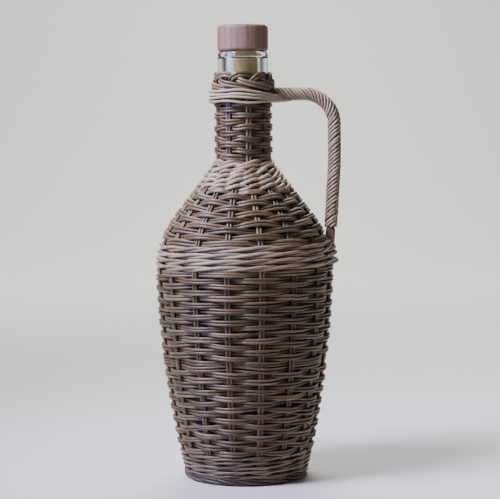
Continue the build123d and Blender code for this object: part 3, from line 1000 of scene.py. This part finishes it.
class FLASK_OT_bands(bpy.types.Operator):
    """Weave the slanting bands at the foot and shoulder and the twined collar"""

    bl_idname = "flask.bands"
    bl_label = "Bands and collar"

    def execute(self, context):
        sizes, chance = start(context, draws=2)
        rods = Rods("base_band_rods", sizes, chance)
        first, last = OUTLINE.station(foot_top), OUTLINE.station(base_band_top)
        # The base band is darkened: its own darker tone and painted shade low on the cover
        slanting_band(rods, first, (last - first) / base_band_rounds, HALF_TURN, base_band_rounds,
                      sizes.base_band_rod, base_band_lean, base_band_spread, base_band_tone_and_painted_shade)
        rods.build("willow_pale", "base_band")
        rods = Rods("shoulder_band_rods", sizes, chance)
        slanting_band(rods, OUTLINE.station(shoulder_band_first), shoulder_band_pitch,
                      shoulder_band_start - long_stake_angle, shoulder_band_turns,
                      sizes.shoulder_band_rod, shoulder_band_lean, shoulder_band_spread,
                      shoulder_band_tone, shoulder_band_proud, around_handle=True)
        rods.build("willow_pale", "shoulder_band")
        rods = Rods("collar_rods", sizes, chance)
        twined_rounds(rods, collar_low, collar_change, collar_low_rounds, stake_pairs)
        twined_rounds(rods, collar_change, collar_top, collar_top_rounds, neck_stake_pairs)
        rods.build("willow_pale", "collar_band")
        return {"FINISHED"}


class FLASK_OT_border(bpy.types.Operator):
    """Turn down the border round the mouth of the cover"""

    bl_idname = "flask.border"
    bl_label = "Mouth border"

    def execute(self, context):
        sizes, chance = start(context, draws=3)
        fittings = context.scene.flask_fittings
        rods = Rods("border_rods", sizes, chance)
        # The border's rods are lightened: their own golden tone and a painted highlight
        rolled_pairs(rods, border_stops, border_steps, neck_stake_pairs, fittings.border_rod, border_tone_and_painted_highlight)
        rods.build("willow_brown", "top_border")
        return {"FINISHED"}


class FLASK_OT_foot(bpy.types.Operator):
    """Roll the foot and weave the base inside it"""

    bl_idname = "flask.foot"
    bl_label = "Foot and base"

    def execute(self, context):
        sizes, chance = start(context, draws=4)
        fittings = context.scene.flask_fittings
        rods = Rods("foot_rods", sizes, chance)
        rolled_pairs(rods, foot_stops, foot_steps, stake_pairs, fittings.foot_rod, foot_tone)
        rods.build("willow_dark", "foot_border")
        self.base_cross(sizes, chance)
        self.base_rounds(sizes, chance)
        return {"FINISHED"}

    def base_cross(self, sizes, chance):
        # Two sets of sticks cross, and their ends spread out as the spokes of the base
        rods = Rods("base_stick_rods", sizes, chance)
        half = (base_sticks - 1) / 2
        share = np.linspace(0, 1, base_stick_steps)[:, None]
        for turn in (0, HALF_TURN / 2):
            cos, sin = math.cos(math.radians(turn)), math.sin(math.radians(turn))
            for number in range(base_sticks):
                aside = (number - half) * base_stick_pitch
                spread = math.radians((number - half) * FULL_TURN / stake_pairs)
                end = (math.cos(spread) * base_reach, math.sin(spread) * base_reach)
                line = np.array([(-end[0], end[1]), (-base_cross, aside), (base_cross, aside), end])
                flat = np.vstack([a + (b - a) * share for a, b in zip(line, line[1:])])
                moved = np.linalg.norm(np.diff(flat, axis=0), axis=1) > 0
                x, y = flat[np.concatenate([[True], moved])].T
                across = np.abs(x)
                height = np.full(len(x), base_middle)
                if turn:
                    height -= np.where(across < base_cross * base_under_share, base_cross_step, 0)
                route = np.column_stack([x * cos - y * sin, x * sin + y * cos, height])
                thick = np.where(across < base_cross * base_thick_share, base_stick_rod, base_spoke_rod)
                rods.add(route, np.tile(DOWN, (len(route), 1)), thick, rods.tone())
        rods.build("willow_dark", "base_sticks_split", "base_sticks_through")

    def base_rounds(self, sizes, chance):
        # Two rods wind outwards over and under the spokes
        rods = Rods("base_weave_rods", sizes, chance)
        cut = stake_pairs * base_steps
        turned = np.arange(base_weave_rounds * cut + 1) / cut
        for strand in range(2):
            phase = turned * stake_pairs + strand
            radius = base_weave_inner + (base_weave_outer - base_weave_inner) * turned / base_weave_rounds
            radius = radius + base_weave_rod / 2 * np.cos(math.pi * phase)
            height = base_middle - base_swing * np.sin(math.pi * phase)
            route = round_axis(turned * FULL_TURN, radius, height)
            outward = np.tile(DOWN, (len(route), 1))
            for part in cut_rods(base_weave_rounds, cut):
                rods.add(route[part], outward[part], base_weave_rod, rods.tone())
        rods.build("willow_dark", "base_weave")


class FLASK_OT_lashing(bpy.types.Operator):
    """Lash the root of the handle to the neck"""

    bl_idname = "flask.lashing"
    bl_label = "Neck lashing"

    def execute(self, context):
        sizes, chance = start(context, draws=5)
        fittings = context.scene.flask_fittings
        rods = Rods("lashing_rods", sizes, chance)
        behind = 2 * handle_angle - FULL_TURN
        degrees = np.linspace(behind - lashing_leave_angle, lashing_leave_angle,
                              2 + int(FULL_TURN / lashing_stop_angle))
        draw = lashing_leave_angle - lashing_draw_angle
        pull = np.maximum(eased((degrees - lashing_draw_angle) / draw),
                          eased((behind - degrees - lashing_draw_angle) / draw))
        levels = zip(lashing_heights, lashing_meeting, lashing_ends, lashing_end_heights)
        for high, low, end, end_height in levels:
            height = high + (low - high) * pull + rods.stray(sizes.wander, degrees)
            around = round_axis(degrees, np.full(len(degrees), lashing_radius), height)
            middle = lashing_radius + (end - lashing_radius) * lashing_middle_share
            near = [[middle, -lashing_middle_aside, (low + end_height) / 2],
                    [end, -lashing_end_aside, end_height],
                    [end + lashing_end_aside, 0, end_height]]
            far = [[x, -y, z] for x, y, z in reversed(near)]
            route = smooth_route(np.vstack([far, around, near]), lashing_steps)
            outward = unit(route * (1, 1, 0))
            thickness = fittings.lashing_rod * rods.share(lashing_rod_shares)
            rods.add(route, outward, thickness, rods.share(lashing_tone_shares))
        rods.build("willow_pale", "neck_lashing")
        return {"FINISHED"}


def handle_line(spacing):
    # The middle line of the handle, as points this far apart, and the length to each
    bend = np.radians(np.linspace(HALF_TURN / 2, 0, handle_bend_steps))
    centre_x = handle_reach - handle_bend_radius
    centre_z = handle_height - handle_bend_radius
    out = np.linspace(handle_root, centre_x, handle_run_steps, endpoint=False)
    run = np.column_stack([out, np.full(handle_run_steps, handle_height)])
    arc = np.column_stack([centre_x + handle_bend_radius * np.cos(bend),
                           centre_z + handle_bend_radius * np.sin(bend)])
    down = np.arange(1, handle_leg_steps + 1) / handle_leg_steps
    height = centre_z + (handle_foot_height - centre_z) * down
    slope = (handle_reach - handle_foot_reach) / (handle_knee_height - handle_foot_height)
    below = handle_knee_height - height
    blend = np.clip((below / handle_knee_blend + 1) / 2, 0, 1)
    inward = np.where(below > handle_knee_blend, below * slope, blend ** 2 * handle_knee_blend * slope)
    line = np.vstack([run, arc, np.column_stack([handle_reach - inward, height])])
    gone = np.concatenate([[0], np.cumsum(np.linalg.norm(np.diff(line, axis=0), axis=1))])
    even = np.arange(0, gone[-1], spacing)
    across, up = np.interp(even, gone, line[:, 0]), np.interp(even, gone, line[:, 1])
    return np.column_stack([across, np.zeros(len(even)), up]), even


class FLASK_OT_handle(bpy.types.Operator):
    """Twist the strands round the handle's core"""

    bl_idname = "flask.handle"
    bl_label = "Handle"

    def execute(self, context):
        sizes, chance = start(context, draws=6)
        fittings = context.scene.flask_fittings
        line, gone = handle_line(fittings.handle_lead / handle_steps_per_turn)
        way = unit(np.gradient(line, axis=0))
        outward = np.stack([-way[:, 2], np.zeros(len(way)), way[:, 0]], -1)
        aside = np.array([0.0, 1.0, 0.0])

        def radial(turn):
            turn = np.broadcast_to(turn, len(line))[:, None]
            return outward * np.cos(turn) - aside * np.sin(turn)

        wrapped = line[:, 2] > handle_wrap_low
        reach = fittings.handle_radius - fittings.handle_strand / 2
        rods = Rods("handle_strands", sizes, chance)
        for number in range(fittings.handle_strands):
            turn = 2 * math.pi * (gone / fittings.handle_lead + number / fittings.handle_strands)
            turn = turn + rods.stray(handle_stray, gone / gone[-1] * FULL_TURN)
            out = radial(turn)
            thickness = fittings.handle_strand * rods.share(strand_rod_shares)
            route = (line + out * reach)[wrapped]
            rods.add(route, out[wrapped], thickness, rods.share(strand_tone_shares))
        rods.build("willow_pale", *[f"handle_strand_{number + 1}" for number in range(handle_nodes)])
        bare = eased((handle_wrap_low - line[:, 2]) / handle_core_run)
        reach = handle_core_reach + (handle_bare_reach - handle_core_reach) * bare
        thickness = handle_core_rod + (handle_bare_rod - handle_core_rod) * bare
        core = Rods("handle_core_rods", sizes, chance)
        for number in range(handle_core_rods):
            out = radial(2 * math.pi * number / handle_core_rods + handle_core_start)
            # The core is kept dark: its own tone and painted shade in the gaps between the strands
            core.add(line + out * reach[:, None], out, thickness, core.share(core_tone_and_painted_shade_shares))
        core.build("willow_pale", "handle_core")
        return {"FINISHED"}


class FLASK_OT_glass(bpy.types.Operator):
    """Finish the glass of the bottle"""

    bl_idname = "flask.glass"
    bl_label = "Glass"

    def execute(self, context):
        bpy.ops.object.select_all(action="DESELECT")
        paint_node("glass_bottle", "glass")
        for face in NODES["glass_bottle"].data.polygons:
            face.use_smooth = True
        return {"FINISHED"}


class FLASK_OT_stopper(bpy.types.Operator):
    """Finish the cork and its wooden head"""

    bl_idname = "flask.stopper"
    bl_label = "Stopper"

    def execute(self, context):
        paint_node("stopper_cork", "cork")
        paint_node("stopper_cap", "beech")
        return {"FINISHED"}


class FLASK_OT_stage(bpy.types.Operator):
    """Set the floor, backdrop, lights and camera"""

    bl_idname = "flask.stage"
    bl_label = "Stage"

    def execute(self, context):
        settings = context.scene.flask_stage
        self.backdrop(context)
        self.lights(context, settings)
        self.surroundings(context, settings)
        self.camera(context, settings)
        return {"FINISHED"}

    def select_edges(self, floor, top):
        # The edges at the back whose two ends lie below this height
        for edge in floor.data.edges:
            ends = [floor.data.vertices[v].co for v in edge.vertices]
            edge.select = all(end.y > backdrop_distance / 2 and end.z < top for end in ends)

    def backdrop(self, context):
        bpy.ops.object.select_all(action="DESELECT")
        middle = (0, backdrop_distance - floor_half, 0)
        bpy.ops.mesh.primitive_plane_add(size=floor_half * 2, location=middle)
        floor = context.object
        floor.name = "floor"
        bpy.ops.object.transform_apply(location=True, rotation=True, scale=True)
        bpy.ops.object.mode_set(mode="EDIT")
        bpy.ops.mesh.select_all(action="DESELECT")
        bpy.ops.object.mode_set(mode="OBJECT")
        self.select_edges(floor, backdrop_round)
        bpy.ops.object.mode_set(mode="EDIT")
        bpy.ops.mesh.select_mode(type="EDGE")
        bpy.ops.mesh.extrude_region_move(TRANSFORM_OT_translate={"value": (0, 0, backdrop_height)})
        bpy.ops.object.mode_set(mode="OBJECT")
        self.select_edges(floor, backdrop_round)
        bpy.ops.object.mode_set(mode="EDIT")
        bpy.ops.mesh.bevel(offset=backdrop_round, segments=backdrop_round_steps)
        bpy.ops.object.mode_set(mode="OBJECT")
        bpy.ops.object.shade_smooth()
        floor.data.materials.append(material("floor_paper"))

    def lights(self, context, settings):
        for name, (place, goal, size, shade) in LIGHTS.items():
            turn = (Vector(goal) - Vector(place)).to_track_quat("-Z", "Y").to_euler()
            bpy.ops.object.light_add(type="AREA", location=place, rotation=turn)
            light = context.object
            light.name = f"{name}_light"
            light.data.shape = "DISK"
            light.data.size = size
            light.data.color = shade
            light.data.energy = getattr(settings, f"{name}_power")
            light.data.spread = getattr(settings, f"{name}_spread", math.pi)

    def surroundings(self, context, settings):
        world = bpy.data.worlds.new("studio")
        world.use_nodes = True
        ground = world.node_tree.nodes["Background"]
        ground.inputs["Color"].default_value = (*sky_colour, 1.0)
        ground.inputs["Strength"].default_value = settings.sky
        context.scene.world = world

    def camera(self, context, settings):
        bpy.ops.object.camera_add()
        camera = context.object
        camera.name = "camera"
        level = Matrix.Rotation(math.pi / 2 - settings.pitch, 4, "X")
        lean = Matrix.Rotation(-settings.roll, 4, "Z")
        place = Matrix.Translation((settings.aside, -settings.distance, settings.height))
        camera.matrix_world = place @ level @ lean
        camera.data.sensor_width = sensor_width
        camera.data.lens = settings.lens
        context.scene.camera = camera


OPERATORS = [
    FLASK_OT_stage,
    FLASK_OT_stakes,
    FLASK_OT_weave,
    FLASK_OT_bands,
    FLASK_OT_border,
    FLASK_OT_foot,
    FLASK_OT_lashing,
    FLASK_OT_handle,
    FLASK_OT_glass,
    FLASK_OT_stopper,
]


class FLASK_PT_panel(bpy.types.Panel):
    bl_label = "Woven flask"
    bl_idname = "FLASK_PT_panel"
    bl_space_type = "VIEW_3D"
    bl_region_type = "UI"
    bl_category = "Woven flask"

    def draw(self, context):
        for group in GROUPS:
            column = self.layout.column(align=True)
            for name in GROUPS[group].__annotations__:
                column.prop(getattr(context.scene, group), name)
        for operator in OPERATORS:
            self.layout.operator(operator.bl_idname)


def register():
    for name, group in GROUPS.items():
        bpy.utils.register_class(group)
        setattr(bpy.types.Scene, name, bpy.props.PointerProperty(type=group))
    for operator in OPERATORS:
        bpy.utils.register_class(operator)
    bpy.utils.register_class(FLASK_PT_panel)


def unregister():
    bpy.utils.unregister_class(FLASK_PT_panel)
    for operator in reversed(OPERATORS):
        bpy.utils.unregister_class(operator)
    for name, group in GROUPS.items():
        delattr(bpy.types.Scene, name)
        bpy.utils.unregister_class(group)


def main():
    register()
    for operator in OPERATORS:
        family, name = operator.bl_idname.split(".")
        getattr(getattr(bpy.ops, family), name)()


if __name__ == "__main__":
    main()
